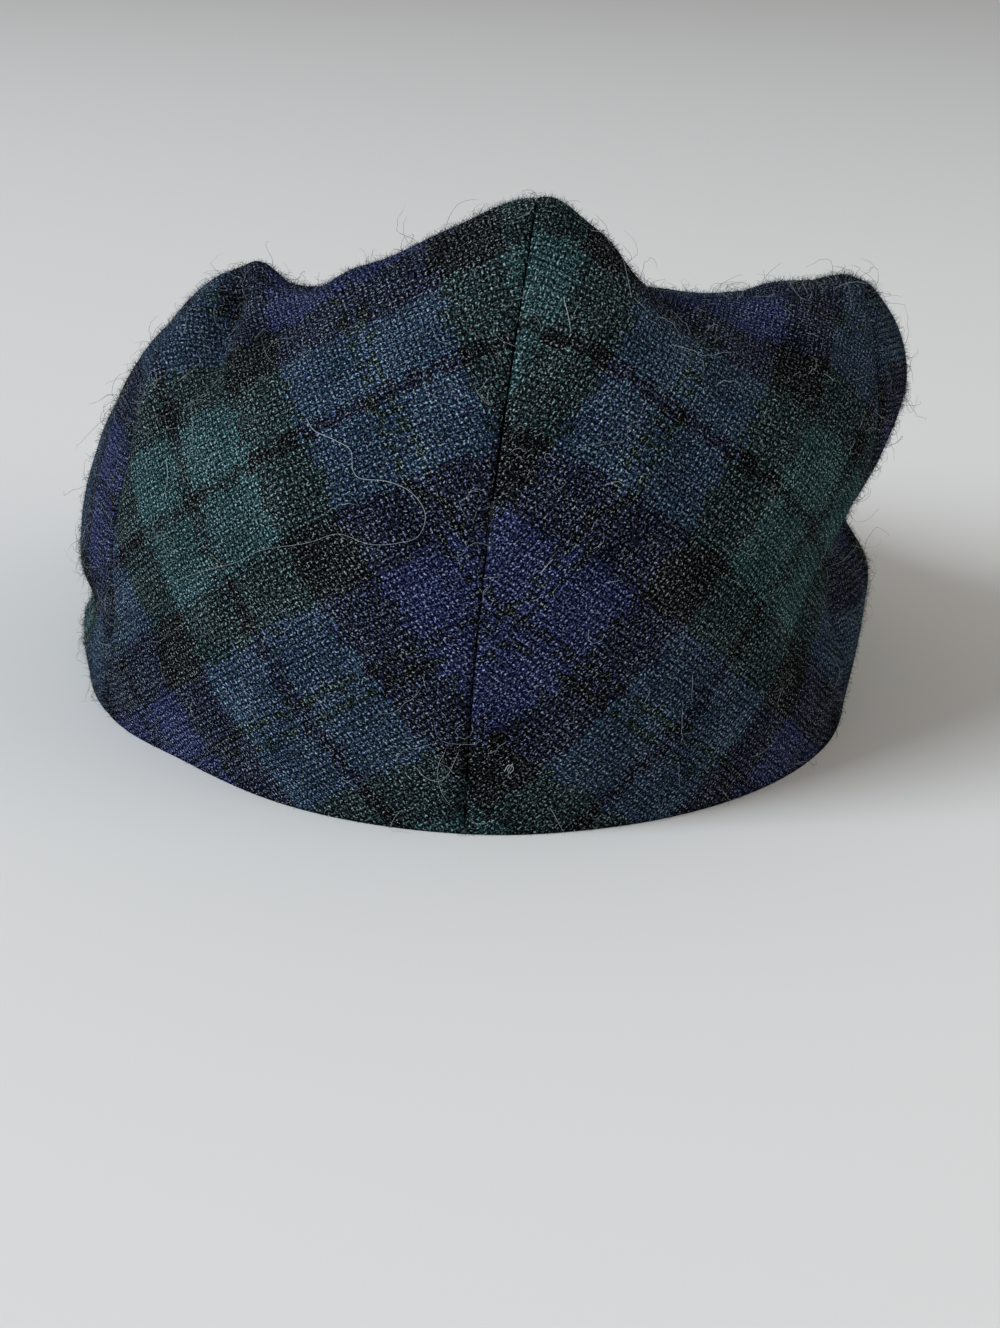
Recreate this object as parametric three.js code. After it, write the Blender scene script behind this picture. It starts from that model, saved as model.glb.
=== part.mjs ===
// Soft woollen flat cap: two crown halves joined by a centre seam, a panel on each side, and a peak.
import * as THREE from 'three';

// Driving dimensions, in millimetres. +Z is up, the back of the cap faces +Y and its left side +X.
const clothWall = 2; // cloth with its seam allowances
const hemWall = 3; // the hem is turned in, so the wall is thicker there
const hemTurn = 14; // height of the turned hem
const hemFade = 3; // its upper edge thins out over this height
const seamGap = 0.6; // between two panels along a seam
const seamDip = 0.6; // how far a seam pulls the cloth in
const seatGap = 0.3; // between the crown's front edge and the peak under it
const apexHeight = 88; // the crown over the middle of the head opening
const crownHeight = 112; // the ridge at the back, the highest place
const crownLean = 9; // the slack top leans to the right by this much at crownHeight

// Seams, as azimuths round the cap in degrees: 0 is the back, + is the left side, 180 the front.
const backSeam = 1.5;
const frontSeam = 180;
const sideSeams = {
  left: { hem: 61, waist: 56.5, rim: 56 },
  right: { hem: -65, waist: -52.5, rim: -73 },
};
const panelEnd = 124; // the side panels stop here, at the ends of the peak

// The peak is a crescent between two ellipses, arched across and falling to the front.
const peakThickness = 3.6;
const peakEnd = 125.2; // azimuth of its two tips
const peakInner = { halfWidth: 88, reach: 100 };
const peakOuter = { halfWidth: 81, centre: 58, reach: 153 };
const peakArch = { height: 15, fall: 0.6, from: 50 };

// One section of the cap for each azimuth, from the hem up to the apex. A pair is the reach from the
// upright axis through the head opening and the height above the hem. In front of panelEnd the crown
// has no wall below its rim: the rim is its front edge and lies on the peak, whatever its height here.
const sections = [
  { azimuth: 0, hem: [102, 0], bulge: [105, 18], waist: [106, 38], belly: [104, 60], shoulder: [88, 92],
    rim: [58, 112], brow: [46, 109], crest: [34, 102.5], dome: [17, 94] },
  { azimuth: 18, hem: [99, 0], bulge: [102, 18], waist: [103, 37], belly: [102, 58], shoulder: [86, 88],
    rim: [60, 104.8], brow: [48, 102.6], crest: [35, 98], dome: [18, 93] },
  { azimuth: 40, hem: [91, 0], bulge: [95, 16], waist: [95, 33], belly: [95, 52], shoulder: [84, 78],
    rim: [66, 91.2], brow: [54, 88], crest: [38, 89], dome: [19, 90.5] },
  { azimuth: 54, hem: [90, 0], bulge: [92.3, 13], waist: [91.5, 25], belly: [92.5, 43], shoulder: [85, 76],
    rim: [69, 95], brow: [56, 89.5], crest: [40, 88], dome: [20, 89] },
  { azimuth: 78, hem: [87.5, 0], bulge: [88.6, 9], waist: [86, 15.5], belly: [89, 27], shoulder: [83, 61],
    rim: [69, 79], brow: [56, 84], crest: [40, 86], dome: [20, 87.5] },
  { azimuth: 100, hem: [87, 0], bulge: [90, 8], waist: [87, 14], belly: [92, 24], shoulder: [88, 46],
    rim: [77, 63], brow: [62, 74], crest: [44, 80.5], dome: [22, 85.5] },
  { azimuth: 113, hem: [89, 0], bulge: [91.5, 5], waist: [90.5, 9], belly: [95, 15], shoulder: [96.5, 24],
    rim: [94, 35], brow: [80, 55], crest: [56, 70.5], dome: [27, 82] },
  { azimuth: 124, hem: [92, 0], bulge: [92.5, 1.3], waist: [93.2, 2.6], belly: [94, 4], shoulder: [95.2, 6],
    rim: [96.5, 8], brow: [98, 30], crest: [70, 59], dome: [32, 79] },
  { azimuth: 137, rim: [110, 9], brow: [112, 25], crest: [84, 53], dome: [35, 77] },
  { azimuth: 153, rim: [126, 12], brow: [126, 25], crest: [96, 49], dome: [37, 75.5] },
  { azimuth: 180, rim: [134.5, 13], brow: [134.5, 25], crest: [101, 48], dome: [38, 75] },
  { azimuth: -153, rim: [126, 12], brow: [126, 25], crest: [97, 49.5], dome: [37, 75.5] },
  { azimuth: -137, rim: [110, 9], brow: [112, 26], crest: [85, 54.5], dome: [35, 77] },
  { azimuth: -124, hem: [92, 0], bulge: [92.5, 1.3], waist: [93.2, 2.6], belly: [94, 4], shoulder: [95.2, 6],
    rim: [96.5, 8], brow: [98, 32], crest: [71, 62], dome: [32, 80] },
  { azimuth: -113, hem: [88, 0], bulge: [91, 8], waist: [89, 14], belly: [94, 23], shoulder: [96, 31],
    rim: [94.5, 38], brow: [81, 59], crest: [57, 73.5], dome: [27, 82.5] },
  { azimuth: -100, hem: [85, 0], bulge: [89, 20], waist: [83, 34], belly: [90, 53], shoulder: [88, 66],
    rim: [79, 77], brow: [64, 82], crest: [45, 84], dome: [22, 86] },
  { azimuth: -75, hem: [84.5, 0], bulge: [86.3, 28], waist: [75.5, 48], belly: [87.8, 69],
    shoulder: [83, 83.5], rim: [73.5, 93], brow: [60, 90], crest: [42, 86], dome: [20, 86.5] },
  { azimuth: -54, hem: [89.3, 0], bulge: [90.5, 21], waist: [85.6, 42], belly: [91.6, 63], shoulder: [84, 82],
    rim: [70, 92.8], brow: [56, 88], crest: [40, 86.5], dome: [20, 88.5] },
  { azimuth: -25, hem: [97.5, 0], bulge: [101, 18], waist: [102, 38], belly: [100.5, 59], shoulder: [84, 86],
    rim: [60, 94.5], brow: [48, 92.5], crest: [35, 91.5], dome: [18, 91.5] },
  { azimuth: -12, hem: [100.5, 0], bulge: [104, 18], waist: [105.5, 38], belly: [103.5, 60],
    shoulder: [86.5, 90.5], rim: [58.5, 105.8], brow: [46.5, 103], crest: [34, 99], dome: [17, 93.5] },
];

// Folds that run up the cloth. A fold starts at a level, may lean as it rises, and is a groove where
// its depth is positive. Levels count from 0 at the hem, so 4 is the shoulder and 5 the rim.
const folds = [
  { azimuth: 41, lean: 9, low: 3.7, high: 5.2, width: 3.4, depth: 3.2 },
  { azimuth: 52, lean: 2, low: 3.3, high: 4.9, width: 3.5, depth: -1.4 },
  { azimuth: 22, lean: -6, low: 3.2, high: 5.3, width: 7, depth: 1.6 },
  { azimuth: -55, lean: -2, low: 0.8, high: 3, width: 3.5, depth: 1.8 },
  { azimuth: -47, lean: -1, low: 1.2, high: 2.8, width: 3.5, depth: -0.9 },
  { azimuth: -33, lean: -4, low: 3.4, high: 5.2, width: 6, depth: 1.4 },
];

// The named heights of a section, and the rows of cells between each one and the next.
const levels = ['hem', 'bulge', 'waist', 'belly', 'shoulder', 'rim', 'brow', 'crest', 'dome'];
const rowsAbove = { hem: 2, bulge: 3, waist: 3, belly: 4, shoulder: 3, rim: 3, brow: 2, crest: 3, dome: 2 };
const waistLevel = levels.indexOf('waist');
const rimLevel = levels.indexOf('rim');
const apexLevel = levels.length;
const columns = { back: 14, side: 12, front: 10 };
const edgeCell = 0.035; // share of a stretch of columns taken by the narrow cell beside a seam

const clothRoughness = 0.95;
const clothColors = {
  crown_left: '#25363f',
  crown_right: '#23343f',
  side_left: '#22323c',
  side_right: '#22323c',
  peak: '#202f39',
};

const fullTurn = 360;
const toRadians = THREE.MathUtils.degToRad;
const { lerp, clamp, smoothstep, inverseLerp } = THREE.MathUtils;

// The underside of the peak is flat across its tips and rises to the middle.
function peakUnderside(x, y) {
  const across = 1 - (x / peakInner.halfWidth) ** 2;
  const forward = clamp(inverseLerp(peakArch.from, peakOuter.reach, -y), 0, 1);
  return Math.max(0, peakArch.height * across * (1 - peakArch.fall * forward));
}

function ellipseReach(azimuth, halfWidth, depth) {
  return 1 / Math.hypot(Math.sin(azimuth) / halfWidth, Math.cos(azimuth) / depth);
}

// The outer ellipse is centred in front of the axis, so its reach is a root of a quadratic.
function peakOuterReach(azimuth) {
  const depth = peakOuter.reach - peakOuter.centre;
  const a = (Math.sin(azimuth) / peakOuter.halfWidth) ** 2 + (Math.cos(azimuth) / depth) ** 2;
  const b = (2 * peakOuter.centre * Math.cos(azimuth)) / depth ** 2;
  const c = (peakOuter.centre / depth) ** 2 - 1;
  return (Math.sqrt(b * b - 4 * a * c) - b) / (2 * a);
}

// The rows of the section table that give a level, sorted and carried on past a full turn.
function trackOf(level) {
  const rows = sections.filter((row) => row[level]).map((row) => ({ at: row.azimuth, pair: row[level] }));
  rows.sort((one, other) => one.at - other.at);
  const turned = (row, turn) => ({ at: row.at + turn, pair: row.pair });
  const before = rows.slice(-3).map((row) => turned(row, -fullTurn));
  const after = rows.slice(0, 3).map((row) => turned(row, fullTurn));
  return [...before, ...rows, ...after];
}

const tracks = Object.fromEntries(levels.map((level) => [level, trackOf(level)]));

// Reach and height of a level at any azimuth, on a smooth curve through the rows of the table.
function pairAt(level, azimuth) {
  const rows = tracks[level];
  const i = rows.findLastIndex((row) => row.at <= azimuth);
  const [before, from, to, after] = rows.slice(i - 1, i + 3);
  const span = to.at - from.at;
  const t = (azimuth - from.at) / span;
  const ease = t * t * (3 - 2 * t);
  return [0, 1].map((k) => {
    const slopeFrom = ((to.pair[k] - before.pair[k]) / (to.at - before.at)) * span;
    const slopeTo = ((after.pair[k] - from.pair[k]) / (after.at - from.at)) * span;
    const bend = t * (1 - t) * ((1 - t) * slopeFrom - t * slopeTo);
    return lerp(from.pair[k], to.pair[k], ease) + bend;
  });
}

function placed(azimuth, reach, height) {
  const turn = toRadians(azimuth);
  const lean = crownLean * (height / crownHeight) ** 2;
  return new THREE.Vector3(reach * Math.sin(turn) - lean, reach * Math.cos(turn), height);
}

function peakSeat(point) {
  return peakUnderside(point.x, point.y) + peakThickness + seatGap;
}

// The outer surface at an azimuth and a level, where 0 is the hem and apexLevel the apex.
function outerPoint(azimuth, level) {
  const first = Math.abs(azimuth) > panelEnd ? rimLevel : 0;
  const points = levels.slice(first).map((name) => placed(azimuth, ...pairAt(name, azimuth)));
  if (first === rimLevel) {
    points[0].z = peakSeat(points[0]);
  }
  points.push(placed(azimuth, 0, apexHeight));
  const curve = new THREE.CatmullRomCurve3(points, false, 'centripetal');
  return curve.getPoint(clamp((level - first) / (apexLevel - first), 0, 1));
}

// How far the folds push the cloth in at an azimuth and a level. Each fades out at its two ends.
function foldDepth(azimuth, level) {
  return folds.reduce((sum, fold) => {
    const along = clamp(inverseLerp(fold.low, fold.high, level), 0, 1);
    const across = (azimuth - fold.azimuth - fold.lean * (level - fold.low)) / fold.width;
    return sum + fold.depth * Math.sin(Math.PI * along) ** 2 * Math.exp(-across * across);
  }, 0);
}

// Outward normal from small steps round and up. The apex, where all azimuths meet, uses long steps.
function outerNormal(azimuth, level) {
  const inFront = Math.abs(azimuth) > panelEnd;
  const step = { azimuth: 0.5, level: 0.03, apex: 0.5 };
  if (level === apexLevel) {
    const near = level - step.apex;
    const sidewards = outerPoint(90, near).sub(outerPoint(-90, near));
    const forwards = outerPoint(frontSeam, near).sub(outerPoint(0, near));
    return forwards.cross(sidewards).normalize();
  }
  const limit = inFront ? fullTurn : panelEnd;
  const ahead = clamp(azimuth + step.azimuth, -limit, limit);
  const behind = clamp(azimuth - step.azimuth, -limit, limit);
  const below = Math.max(level - step.level, inFront ? rimLevel : 0);
  const round = outerPoint(ahead, level).sub(outerPoint(behind, level));
  const up = outerPoint(azimuth, level + step.level).sub(outerPoint(azimuth, below));
  return up.cross(round).normalize();
}

// Shares from 0 to 1 with a narrow first and last cell, so that the dip of a seam stays beside it.
function sharesBetweenSeams(count) {
  const middle = Array.from({ length: count - 1 }, (_, i) => lerp(edgeCell, 1 - edgeCell, i / (count - 2)));
  return [0, ...middle, 1];
}

function rowLevels() {
  const rows = [];
  levels.forEach((name, level) => {
    for (let i = 0; i < rowsAbove[name]; i += 1) {
      rows.push(level + i / rowsAbove[name]);
    }
  });
  return [...rows, apexLevel];
}

const rows = rowLevels();
const rimRow = rows.indexOf(rimLevel);
const apexRow = rows.length - 1;
const sideColumn = columns.back;
const endColumn = columns.back + columns.side;
const lastColumn = columns.back + columns.side + columns.front;

// Azimuth of a side seam at a level: a parabola through its places at the hem, the waist and the rim.
function sideSeamAt(seam, level) {
  const height = Math.min(level, rimLevel);
  const lowSlope = (seam.waist - seam.hem) / waistLevel;
  const highSlope = (seam.rim - seam.waist) / (rimLevel - waistLevel);
  const bow = (highSlope - lowSlope) / rimLevel;
  return seam.hem + lowSlope * height + bow * height * (height - waistLevel);
}

// Azimuth of a column of cells. The side seam is bowed, and the columns beside it bend with it.
function columnAzimuth(column, level, seam, turn) {
  const stops = [backSeam, sideSeamAt(seam, level), turn * panelEnd, turn * frontSeam];
  const counts = [columns.back, columns.side, columns.front];
  let left = column;
  let stretch = 0;
  while (left > counts[stretch]) {
    left -= counts[stretch];
    stretch += 1;
  }
  return lerp(stops[stretch], stops[stretch + 1], sharesBetweenSeams(counts[stretch])[left]);
}

function onSeam(column, row) {
  const centre = column === 0 || column === lastColumn || row === apexRow;
  const sideUpright = column === sideColumn && row <= rimRow;
  const sideRim = row === rimRow && column >= sideColumn && column <= endColumn;
  return centre || sideUpright || sideRim;
}

// One half of the cap as a grid of corners, each with its outer point, normal and cloth thickness.
function halfGrid(seam, turn) {
  const apex = { column: 0, row: apexRow, thickness: clothWall };
  apex.outer = outerPoint(0, apexLevel);
  apex.normal = outerNormal(0, apexLevel);
  const grid = [];
  for (let column = 0; column <= lastColumn; column += 1) {
    grid.push([]);
    for (let row = 0; row < apexRow; row += 1) {
      if (column > endColumn && row < rimRow) {
        grid[column].push(null);
        continue;
      }
      const azimuth = columnAzimuth(column, rows[row], seam, turn);
      const normal = outerNormal(azimuth, rows[row]);
      const outer = outerPoint(azimuth, rows[row]).addScaledVector(normal, -foldDepth(azimuth, rows[row]));
      const thickness = lerp(hemWall, clothWall, smoothstep(outer.z, hemTurn - hemFade, hemTurn));
      grid[column].push({ column, row, outer, normal, thickness });
    }
    grid[column].push(apex);
  }
  return grid;
}

// The cells of one panel, corners in outward order. The cells round the apex have three corners.
function panelCells(grid, turn, belongs) {
  const cells = [];
  for (let column = 0; column < lastColumn; column += 1) {
    for (let row = 0; row < apexRow; row += 1) {
      if (belongs(column, row)) {
        const [here, next] = [grid[column], grid[column + 1]];
        const corners = [here[row], here[row + 1], next[row + 1], next[row]];
        cells.push([...new Set(turn > 0 ? corners : corners.reverse())]);
      }
    }
  }
  return cells;
}

const inCrown = (column, row) => row >= rimRow || column < sideColumn;
const inSide = (column, row) => row < rimRow && column >= sideColumn && column < endColumn;

// The edges that only one cell of a panel has, in the order that keeps the panel on their left.
function freeEdges(cells) {
  const edges = new Map();
  const ids = new Map();
  const idOf = (corner) => ids.get(corner) ?? ids.set(corner, ids.size).get(corner);
  cells.forEach((cell) => {
    cell.forEach((from, i) => {
      const to = cell[(i + 1) % cell.length];
      if (!edges.delete(`${idOf(to)} ${idOf(from)}`)) {
        edges.set(`${idOf(from)} ${idOf(to)}`, [from, to]);
      }
    });
  });
  return [...edges.values()];
}

// Along a seam each corner moves back into its own panel, square to the seam, by half the gap.
function seamShifts(cells) {
  const sums = new Map();
  const seamEdges = freeEdges(cells).filter((edge) => edge.every(({ column, row }) => onSeam(column, row)));
  seamEdges.forEach((edge) => {
    const [from, to] = edge;
    const along = to.outer.clone().sub(from.outer);
    edge.forEach((corner) => {
      const entry = sums.get(corner) ?? { sum: new THREE.Vector3(), count: 0 };
      entry.sum.add(corner.normal.clone().cross(along).normalize());
      entry.count += 1;
      sums.set(corner, entry);
    });
  });
  const shifts = new Map();
  sums.forEach(({ sum, count }, corner) => {
    shifts.set(corner, sum.multiplyScalar(((seamGap / 2) * count) / sum.lengthSq()));
  });
  return shifts;
}

// Outer and inner points of a panel's corners. The outer ones dip along a seam, the hem stays flat
// on the ground, and the front edge follows the top of the peak.
function panelCorners(cells) {
  const shifts = seamShifts(cells);
  const corners = new Map();
  new Set(cells.flat()).forEach((corner) => {
    const outer = corner.outer.clone();
    const inner = corner.outer.clone().addScaledVector(corner.normal, -corner.thickness);
    if (shifts.has(corner)) {
      outer.add(shifts.get(corner)).addScaledVector(corner.normal, -seamDip);
      inner.add(shifts.get(corner));
    }
    [outer, inner].forEach((point) => {
      if (corner.row === 0) {
        point.z = 0;
      }
      if (corner.row === rimRow && corner.column > endColumn) {
        point.z = peakSeat(point);
      }
    });
    corners.set(corner, { outer, inner });
  });
  return corners;
}

// A closed wall: outer faces, inner faces turned over, and a strip along every free edge.
function wallGeometry(cells, corners) {
  const ids = new Map([...corners.keys()].map((corner, i) => [corner, 2 * i]));
  const positions = [...corners.values()].flatMap(({ outer, inner }) => [...outer, ...inner]);
  const faces = [];
  cells.forEach((cell) => {
    const around = cell.map((corner) => ids.get(corner));
    for (let i = 1; i < around.length - 1; i += 1) {
      const [a, b, c] = [around[0], around[i], around[i + 1]];
      faces.push(a, b, c, a + 1, c + 1, b + 1);
    }
  });
  freeEdges(cells).forEach((edge) => {
    const [from, to] = edge.map((corner) => ids.get(corner));
    faces.push(to, from, from + 1, to, from + 1, to + 1);
  });
  const geometry = new THREE.BufferGeometry();
  geometry.setAttribute('position', new THREE.Float32BufferAttribute(positions, 3));
  geometry.setIndex(faces);
  geometry.computeVertexNormals();
  return geometry;
}

function clothMesh(name, geometry) {
  const material = new THREE.MeshStandardMaterial({ color: clothColors[name], roughness: clothRoughness });
  const mesh = new THREE.Mesh(geometry, material);
  mesh.name = name;
  return mesh;
}

function panelMesh(name, grid, turn, belongs) {
  const cells = panelCells(grid, turn, belongs);
  return clothMesh(name, wallGeometry(cells, panelCorners(cells)));
}

// The peak: a grid from tip to tip and from its inner to its outer edge, thickened straight down.
function peakMesh() {
  const steps = { along: 28, across: 6 };
  const corners = new Map();
  const grid = [];
  for (let i = 0; i <= steps.along; i += 1) {
    const azimuth = toRadians(lerp(peakEnd, fullTurn - peakEnd, i / steps.along));
    const inner = ellipseReach(azimuth, peakInner.halfWidth, peakInner.reach);
    const outer = peakOuterReach(azimuth);
    grid.push([]);
    for (let j = 0; j <= steps.across; j += 1) {
      const reach = lerp(inner, outer, j / steps.across);
      const [x, y] = [reach * Math.sin(azimuth), reach * Math.cos(azimuth)];
      const under = peakUnderside(x, y);
      const corner = {};
      corners.set(corner, {
        outer: new THREE.Vector3(x, y, under + peakThickness),
        inner: new THREE.Vector3(x, y, under),
      });
      grid[i].push(corner);
    }
  }
  const cells = [];
  for (let i = 0; i < steps.along; i += 1) {
    for (let j = 0; j < steps.across; j += 1) {
      cells.push([grid[i][j], grid[i][j + 1], grid[i + 1][j + 1], grid[i + 1][j]].reverse());
    }
  }
  return clothMesh('peak', wallGeometry(cells, corners));
}

const cap = new THREE.Group();
[['left', 1], ['right', -1]].forEach(([side, turn]) => {
  const grid = halfGrid(sideSeams[side], turn);
  cap.add(panelMesh(`crown_${side}`, grid, turn, inCrown));
  cap.add(panelMesh(`side_${side}`, grid, turn, inSide));
});
cap.add(peakMesh());

// The origin is on the ground, in the middle of the cap's length and width.
const middle = new THREE.Box3().setFromObject(cap).getCenter(new THREE.Vector3());
cap.position.set(-middle.x, -middle.y, 0);

export default cap;
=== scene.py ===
import math

import bpy
import numpy as np
from mathutils import Matrix, Vector


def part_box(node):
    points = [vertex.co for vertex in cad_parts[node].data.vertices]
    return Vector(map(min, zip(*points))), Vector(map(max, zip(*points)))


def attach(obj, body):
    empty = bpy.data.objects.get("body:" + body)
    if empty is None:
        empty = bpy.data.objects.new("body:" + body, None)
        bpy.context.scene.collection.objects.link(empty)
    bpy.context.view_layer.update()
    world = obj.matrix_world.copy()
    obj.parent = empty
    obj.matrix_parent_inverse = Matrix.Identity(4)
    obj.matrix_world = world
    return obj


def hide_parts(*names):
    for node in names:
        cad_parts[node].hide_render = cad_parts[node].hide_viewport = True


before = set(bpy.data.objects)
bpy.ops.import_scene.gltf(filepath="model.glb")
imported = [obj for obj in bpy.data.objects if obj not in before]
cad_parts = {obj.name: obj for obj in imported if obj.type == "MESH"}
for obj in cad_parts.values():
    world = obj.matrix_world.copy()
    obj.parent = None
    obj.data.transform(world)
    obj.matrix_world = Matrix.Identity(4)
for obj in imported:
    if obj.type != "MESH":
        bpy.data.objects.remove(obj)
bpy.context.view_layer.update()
mm = 0.001
print("frame loaded:", sorted(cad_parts))

# The cap's form, in millimetres. Azimuths in degrees: 0 is the back, + the left side, 180 the front.
capForm = {
    "clothWall": 2.0,
    "hemWall": 3.0,  # the hem is turned in
    "hemTurn": 14.0,
    "hemFade": 3.0,
    "apexHeight": 88.0,
    "crownHeight": 112.0,
    "crownLean": 9.0,  # the slack top leans to the right
    "backSeam": 1.5,
    "frontSeam": 180.0,
    # Where the side seams run: at the hem, the waist and the rim
    "sideSeams": {"left": (61.0, 56.5, 56.0), "right": (-65.0, -52.5, -73.0)},
    "panelEnd": 124.0,  # the side panels stop at the ends of the peak
    "seatGap": 0.3,  # crown's front edge above the peak
    "seamGap": 0.24,  # the dark line that shows along a seam
    "seamShut": 0.03,  # what is left of it halfway through the cloth
    "edgeRound": 0.12,  # how far an edge rolls over
    "seamDip": 0.4,  # how far a seam pulls the cloth in
    "dipReach": 1.5,
}
peakForm = {
    "thickness": 3.6,
    "end": 125.2,  # azimuth of both ends
    "innerHalfWidth": 88.0,  # the inner edge is part of an oval round the upright axis
    "innerReach": 100.0,
    "outerHalfWidth": 81.0,  # the outer edge is part of an oval that lies further forward
    "outerCentre": 58.0,
    "outerReach": 153.0,
    "archHeight": 15.0,  # of the underside above the hem, halfway across
    "archFall": 0.6,  # share of it that is lost towards the outer edge
    "archFrom": 50.0,  # how far in front of the axis that loss starts
    "edgePower": 2.5,  # a higher power keeps the peak thick nearer to its rounded edge
    "columns": 120,
    "rows": 26,
}

# Sections from the hem up to the apex: reach from the upright axis, height above the hem
levels = ("hem", "bulge", "waist", "belly", "shoulder", "rim", "brow", "crest", "dome")
rimLevel = levels.index("rim")
apexLevel = len(levels)
sections = [
    dict(azimuth=0, hem=(102, 0), bulge=(105, 18), waist=(106, 38), belly=(104, 60), shoulder=(88, 92),
         rim=(58, 112), brow=(46, 109), crest=(34, 102.5), dome=(17, 94)),
    dict(azimuth=18, hem=(99, 0), bulge=(102, 18), waist=(103, 37), belly=(102, 58), shoulder=(86, 88),
         rim=(60, 104.8), brow=(48, 102.6), crest=(35, 98), dome=(18, 93)),
    dict(azimuth=40, hem=(91, 0), bulge=(95, 16), waist=(95, 33), belly=(95, 52), shoulder=(84, 78),
         rim=(66, 91.2), brow=(54, 88), crest=(38, 89), dome=(19, 90.5)),
    dict(azimuth=54, hem=(90, 0), bulge=(92.3, 13), waist=(91.5, 25), belly=(92.5, 43), shoulder=(85, 76),
         rim=(69, 95), brow=(56, 89.5), crest=(40, 88), dome=(20, 89)),
    dict(azimuth=78, hem=(87.5, 0), bulge=(88.6, 9), waist=(86, 15.5), belly=(89, 27), shoulder=(83, 61),
         rim=(69, 79), brow=(56, 84), crest=(40, 86), dome=(20, 87.5)),
    dict(azimuth=100, hem=(87, 0), bulge=(90, 8), waist=(87, 14), belly=(92, 24), shoulder=(88, 46),
         rim=(77, 63), brow=(62, 74), crest=(44, 80.5), dome=(22, 85.5)),
    dict(azimuth=113, hem=(89, 0), bulge=(91.5, 5), waist=(90.5, 9), belly=(95, 15), shoulder=(96.5, 24),
         rim=(94, 35), brow=(80, 55), crest=(56, 70.5), dome=(27, 82)),
    dict(azimuth=124, hem=(92, 0), bulge=(92.5, 1.3), waist=(93.2, 2.6), belly=(94, 4), shoulder=(95.2, 6),
         rim=(96.5, 8), brow=(98, 30), crest=(70, 59), dome=(32, 79)),
    dict(azimuth=137, rim=(110, 9), brow=(112, 25), crest=(84, 53), dome=(35, 77)),
    dict(azimuth=153, rim=(126, 12), brow=(126, 25), crest=(96, 49), dome=(37, 75.5)),
    dict(azimuth=180, rim=(134.5, 13), brow=(134.5, 25), crest=(101, 48), dome=(38, 75)),
    dict(azimuth=-153, rim=(126, 12), brow=(126, 25), crest=(97, 49.5), dome=(37, 75.5)),
    dict(azimuth=-137, rim=(110, 9), brow=(112, 26), crest=(85, 54.5), dome=(35, 77)),
    dict(azimuth=-124, hem=(92, 0), bulge=(92.5, 1.3), waist=(93.2, 2.6), belly=(94, 4), shoulder=(95.2, 6),
         rim=(96.5, 8), brow=(98, 32), crest=(71, 62), dome=(32, 80)),
    dict(azimuth=-113, hem=(88, 0), bulge=(91, 8), waist=(89, 14), belly=(94, 23), shoulder=(96, 31),
         rim=(94.5, 38), brow=(81, 59), crest=(57, 73.5), dome=(27, 82.5)),
    dict(azimuth=-100, hem=(85, 0), bulge=(89, 20), waist=(83, 34), belly=(90, 53), shoulder=(88, 66),
         rim=(79, 77), brow=(64, 82), crest=(45, 84), dome=(22, 86)),
    dict(azimuth=-75, hem=(84.5, 0), bulge=(86.3, 28), waist=(75.5, 48), belly=(87.8, 69),
         shoulder=(83, 83.5), rim=(73.5, 93), brow=(60, 90), crest=(42, 86), dome=(20, 86.5)),
    dict(azimuth=-54, hem=(89.3, 0), bulge=(90.5, 21), waist=(85.6, 42), belly=(91.6, 63),
         shoulder=(84, 82), rim=(70, 92.8), brow=(56, 88), crest=(40, 86.5), dome=(20, 88.5)),
    dict(azimuth=-25, hem=(97.5, 0), bulge=(101, 18), waist=(102, 38), belly=(100.5, 59), shoulder=(84, 86),
         rim=(60, 94.5), brow=(48, 92.5), crest=(35, 91.5), dome=(18, 91.5)),
    dict(azimuth=-12, hem=(100.5, 0), bulge=(104, 18), waist=(105.5, 38), belly=(103.5, 60),
         shoulder=(86.5, 90.5), rim=(58.5, 105.8), brow=(46.5, 103), crest=(34, 99), dome=(17, 93.5)),
]

# Folds that run up the cloth between two levels, grooves where the depth is positive
folds = [
    dict(azimuth=42.4, lean=9, low=3.75, high=5.35, width=2.9, depth=6.5),
    dict(azimuth=52, lean=2, low=3.3, high=4.9, width=3.2, depth=-2.3),
    dict(azimuth=22, lean=-6, low=3.2, high=5.3, width=7, depth=1.6),
    dict(azimuth=-55, lean=-2, low=0.8, high=3, width=3.5, depth=1.8),
    dict(azimuth=-47, lean=-1, low=1.2, high=2.8, width=3.5, depth=-0.9),
    dict(azimuth=-33, lean=-4, low=3.4, high=5.2, width=6, depth=1.4),
    dict(azimuth=70, lean=0, low=3.7, high=4.9, width=6, depth=-0.8),
    dict(azimuth=55, lean=0, low=4.7, high=5.9, width=4, depth=-1.2),
    dict(azimuth=32, lean=0, low=4.3, high=5.8, width=4, depth=-1.5),
    dict(azimuth=-79, lean=0, low=5.2, high=7, width=9, depth=-1.1),
]

# Cells of the cloth mesh: rows above each level, columns from seam to seam
clothMesh = {
    "rowsAbove": dict(hem=10, bulge=12, waist=12, belly=16, shoulder=14, rim=9, brow=8, crest=10, dome=9),
    "columns": (56, 46, 40),
    "wrinkleDepth": 0.28,
    "wrinkleSize": 17.0,
    "wrinkleSpread": (0.7, 1.6),  # shortest and longest wave, as shares of that size
    "wrinkleWaves": 7,
    "wrinkleSeed": 5,
    "wrinkleFade": 12.0,  # millimetres from a seam or the hem until the cloth is quite slack
    # Smoothing by the ends of the side panels and round the apex
    "smoothTurns": 30,
    "smoothWeight": 0.7,
    "smoothEnd": 5.0,  # in degrees
    "smoothAbove": 0.4,  # levels above the rim until it is felt in full
    "smoothApex": (1.6, 0.6),  # levels below the apex where it starts, and where it is felt in full
}

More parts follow.
